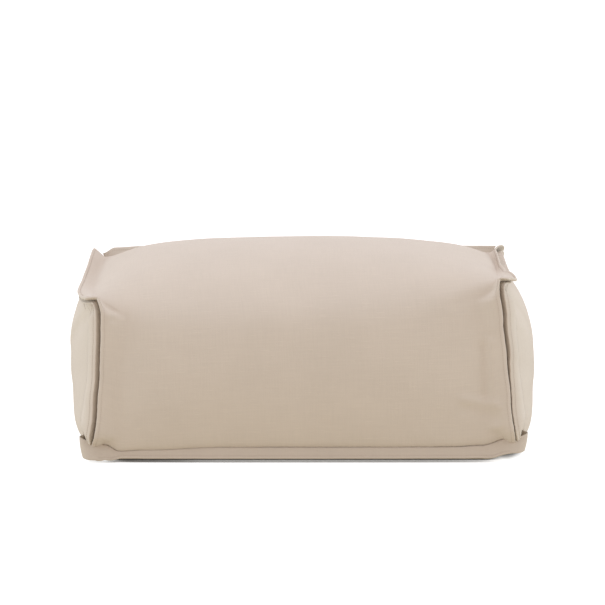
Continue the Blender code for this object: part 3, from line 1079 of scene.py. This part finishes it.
def thread_material(look):
    """Matt sewing thread, a little darker than the cloth, with a fine twist."""
    material, tree, shader = new_material("sewing_thread", look.thread)
    place = add_node(tree, "ShaderNodeTexCoord").outputs["Object"]
    twist = add_node(tree, "ShaderNodeTexNoise",
                     {"Vector": place, "Scale": 900.0}).outputs[0]
    bump = add_node(tree, "ShaderNodeBump", {"Distance": 0.0001, "Height": twist})
    feed(tree, shader, {
        "Base Color": tinted(tree, look.thread, ranged(tree, twist, *TWIST_SHADES)),
        "Normal": bump.outputs[0],
        "Roughness": 0.7,
        "Specular IOR Level": 0.3})
    return material


# --- Studio
SIDE_TINT = (0.68, 0.88, 1.0)
ABOVE_TINT = (1.0, 1.0, 1.0)
WHITE = (1.0, 1.0, 1.0, 1.0)
AIR_TINT = (1.0, 0.92, 0.935, 1.0)
BOUNCE_TINT = (1.0, 0.93, 0.71, 1.0)
ROOM_SEEN = 1.2  # strength of the surround that the camera sees
FLOOR_SEEN = (0.42, 0.42, 0.42, 1.0)
FLOOR_GLOW = 0.90
FLOOR_UNSEEN = (0.30, 0.27, 0.25, 1.0)
CONTACT_REACH = 0.03  # how near the floor has to be to darken under the pouf
CONTACT_RANGE = (0.10, 0.45)  # openness that is wholly dark, and wholly light
FLOOR_RADIUS = 14.0
FLOOR_SIDES = 96
FLOOR_DROP = 0.0002  # the floor lies this far under the base
LIT_PLACE = (0.0, 0.0, 0.2)  # where the lights point
SIDE_PLACES = {"left_softbox": (-2.2, -0.5, 0.9), "right_softbox": (2.2, -0.5, 0.9)}
SIDE_SIZE = 1.4
ABOVE_PLACE = (0.0, 0.1, 2.4)
ABOVE_SIZE = 2.0
CAMERA_PLACE = (0.0, -10.23, 1.650)
CAMERA_TILT = 82.237  # degrees up from straight down
CAMERA_LENS = 325.0  # millimetres, before a sensor this wide
CAMERA_SENSOR = 36.0


def soft_light(name, place, size, watts, colour):
    """A square softbox that points at the pouf."""
    light = bpy.data.lights.new(name, "AREA")
    light.energy = watts
    light.size = size
    light.color = colour
    lamp = bpy.data.objects.new(name, light)
    lamp.location = place
    lamp.rotation_euler = (Vector(LIT_PLACE) - Vector(place)).to_track_quat("-Z", "Y").to_euler()
    bpy.context.scene.collection.objects.link(lamp)


def seen_brighter(tree, seen, unseen):
    """Mix two shaders: one for what the camera sees, one for the light that bounces."""
    path = add_node(tree, "ShaderNodeLightPath")
    return add_node(tree, "ShaderNodeMixShader", {
        0: path.outputs["Is Camera Ray"], 1: unseen, 2: seen}).outputs[0]


def glowing(tree, colour, tint, strength):
    """A dull surface that also gives off light of its own."""
    dull = add_node(tree, "ShaderNodeBsdfDiffuse", {"Color": colour})
    glow = add_node(tree, "ShaderNodeEmission", {"Color": tint, "Strength": strength})
    return add_node(tree, "ShaderNodeAddShader",
                    {0: dull.outputs[0], 1: glow.outputs[0]}).outputs[0]


def floor_material(studio):
    """Pale floor, with a painted contact shadow where the pouf stands close over it."""
    material = bpy.data.materials.new("pale_floor")
    material.use_nodes = True
    tree = material.node_tree
    tree.nodes.clear()
    # Painted contact shadow: the floor's glow, and the light it throws back, fade where the pouf
    # stands close over it.
    near = add_node(tree, "ShaderNodeAmbientOcclusion", {"Distance": CONTACT_REACH})
    contact = add_node(tree, "ShaderNodeMapRange", {
        "Value": near.outputs["AO"],
        "From Min": CONTACT_RANGE[0], "From Max": CONTACT_RANGE[1]}).outputs[0]
    seen = glowing(tree, FLOOR_SEEN, WHITE,
                   arithmetic(tree, "MULTIPLY", contact, FLOOR_GLOW))
    unseen = glowing(tree, FLOOR_UNSEEN, BOUNCE_TINT,
                     arithmetic(tree, "MULTIPLY", contact, studio.bounce))
    add_node(tree, "ShaderNodeOutputMaterial", {0: seen_brighter(tree, seen, unseen)})
    return material


def make_floor(studio):
    """The floor: a wide round plane just under the base."""
    ground = bmesh.new()
    bmesh.ops.create_circle(ground, cap_ends=True, segments=FLOOR_SIDES, radius=FLOOR_RADIUS)
    floor = add_piece("studio_floor", ground)
    floor.data.materials.append(floor_material(studio))
    floor.location.z = -FLOOR_DROP


def make_room(scene, studio):
    """The pale surround, white where the camera sees it."""
    world = bpy.data.worlds.new("pale_room")
    scene.world = world
    world.use_nodes = True
    tree = world.node_tree
    tree.nodes.clear()
    seen = add_node(tree, "ShaderNodeBackground", {"Color": WHITE, "Strength": ROOM_SEEN})
    unseen = add_node(tree, "ShaderNodeBackground", {"Color": AIR_TINT, "Strength": studio.air})
    add_node(tree, "ShaderNodeOutputWorld",
             {0: seen_brighter(tree, seen.outputs[0], unseen.outputs[0])})


def make_camera(scene):
    """A long lens, a little above the pouf and level with its front."""
    camera = bpy.data.cameras.new("camera")
    camera.lens = CAMERA_LENS
    camera.sensor_width = CAMERA_SENSOR
    view = bpy.data.objects.new("camera", camera)
    view.location = CAMERA_PLACE
    view.rotation_euler = (math.radians(CAMERA_TILT), 0.0, 0.0)
    scene.collection.objects.link(view)
    scene.camera = view
    scene.view_settings.view_transform = "Standard"


# --- Operators: one for each piece or group of like pieces
class POUF_OT_wrap_panel(Operator):
    """Sew the wrap panel: front, top, back and base, with its turned edges"""

    bl_idname = "pouf.wrap_panel"
    bl_label = "Wrap Panel"

    def execute(self, context):
        sizes = context.scene.pouf_cover
        profiles = [wrap_profile(place, sizes) for place in stations_round(sizes)]
        piece = sew("wrap_panel", profiles)
        settle_cloth(piece, sizes, WRAP_SEED)
        piece.data.materials.append(get_canvas(context, "sand_canvas"))
        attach(piece, "root")
        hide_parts("filled_body", "wrap_lip_left", "wrap_lip_right")
        return {"FINISHED"}


class POUF_OT_end_panels(Operator):
    """Sew the two bulging end panels with their turned edges"""

    bl_idname = "pouf.end_panels"
    bl_label = "End Panels"

    def execute(self, context):
        sizes = context.scene.pouf_cover
        for end, seed in END_SEEDS.items():
            profiles = [end_profile(end, place, sizes) for place in stations_round(sizes)]
            piece = sew(f"end_panel_{end}", profiles, END_STEPS)
            settle_cloth(piece, sizes, seed)
            piece.data.materials.append(get_canvas(context, "sand_canvas"))
            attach(piece, "root")
            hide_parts(f"end_lip_{end}")
        return {"FINISHED"}


class POUF_OT_cross_flanges(Operator):
    """Sew the flanges along the front bottom and rear top seams"""

    bl_idname = "pouf.cross_flanges"
    bl_label = "Cross Flanges"

    def execute(self, context):
        sizes = context.scene.pouf_cover
        for name, across, way, rows, cloth, flat in FLANGES:
            piece = make_flange(f"{name}_cloth", across, way, rows, sizes)
            piece.data.materials.append(get_canvas(context, cloth))
            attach(piece, "root")
            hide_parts(name)
        return {"FINISHED"}


class POUF_OT_topstitching(Operator):
    """Sew the topstitching along every turned edge and flange"""

    bl_idname = "pouf.topstitching"
    bl_label = "Topstitching"

    def execute(self, context):
        sizes = context.scene.pouf_cover
        thread = bmesh.new()
        for end in ("left", "right"):
            for name, piece in (("wrap_lip", "wrap_panel"), ("end_lip", f"end_panel_{end}")):
                cloth = surface_of(piece)
                line = [edge_stitch(cloth, TurnedEdge(end, name, 4.0 * i / STITCH_SAMPLES, sizes))
                        for i in range(STITCH_SAMPLES)]
                sew_line(thread, line + line[:1], sizes)
        for name, across, way, rows, _, _ in FLANGES:
            cloth = surface_of(f"{name}_cloth")
            line = [flange_stitch(cloth, mix(-STITCHED, STITCHED, i / STITCH_SAMPLES),
                                  across, way, rows, sizes)
                    for i in range(STITCH_SAMPLES + 1)]
            sew_line(thread, line, sizes)
        piece = add_piece("topstitching", thread)
        piece.data.materials.append(thread_material(context.scene.pouf_canvas))
        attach(piece, "root")
        return {"FINISHED"}


class POUF_OT_studio(Operator):
    """Set the pale floor, the soft lights and the camera"""

    bl_idname = "pouf.studio"
    bl_label = "Studio"

    def execute(self, context):
        studio = context.scene.pouf_studio
        make_floor(studio)
        make_room(context.scene, studio)
        for name, place in SIDE_PLACES.items():
            soft_light(name, place, SIDE_SIZE, studio.side, SIDE_TINT)
        soft_light("top_softbox", ABOVE_PLACE, ABOVE_SIZE, studio.above, ABOVE_TINT)
        make_camera(context.scene)
        return {"FINISHED"}


class VIEW3D_PT_pouf(Panel):
    """Sizes, colours and pieces of the pouf"""

    bl_label = "Outdoor Pouf"
    bl_space_type = "VIEW_3D"
    bl_region_type = "UI"
    bl_category = "Pouf"

    def draw(self, context):
        layout = self.layout
        for group in SETTINGS:
            settings = getattr(context.scene, group)
            box = layout.box()
            for key in settings.__annotations__:
                box.prop(settings, key)
        for operator in PIECES:
            layout.operator(operator.bl_idname)


PIECES = (
    POUF_OT_wrap_panel,
    POUF_OT_end_panels,
    POUF_OT_cross_flanges,
    POUF_OT_topstitching,
    POUF_OT_studio,
)
SETTINGS = {"pouf_cover": CoverSizes, "pouf_canvas": CanvasLook, "pouf_studio": StudioLook}
CLASSES = (*SETTINGS.values(), *PIECES, VIEW3D_PT_pouf)


def register():
    for item in CLASSES:
        bpy.utils.register_class(item)
    for name, group in SETTINGS.items():
        setattr(bpy.types.Scene, name, PointerProperty(type=group))


def unregister():
    for name in SETTINGS:
        delattr(bpy.types.Scene, name)
    for item in reversed(CLASSES):
        bpy.utils.unregister_class(item)


def main():
    """Make every piece."""
    register()
    bpy.ops.pouf.wrap_panel()
    bpy.ops.pouf.end_panels()
    bpy.ops.pouf.cross_flanges()
    bpy.ops.pouf.topstitching()
    bpy.ops.pouf.studio()


if __name__ == "__main__":
    main()
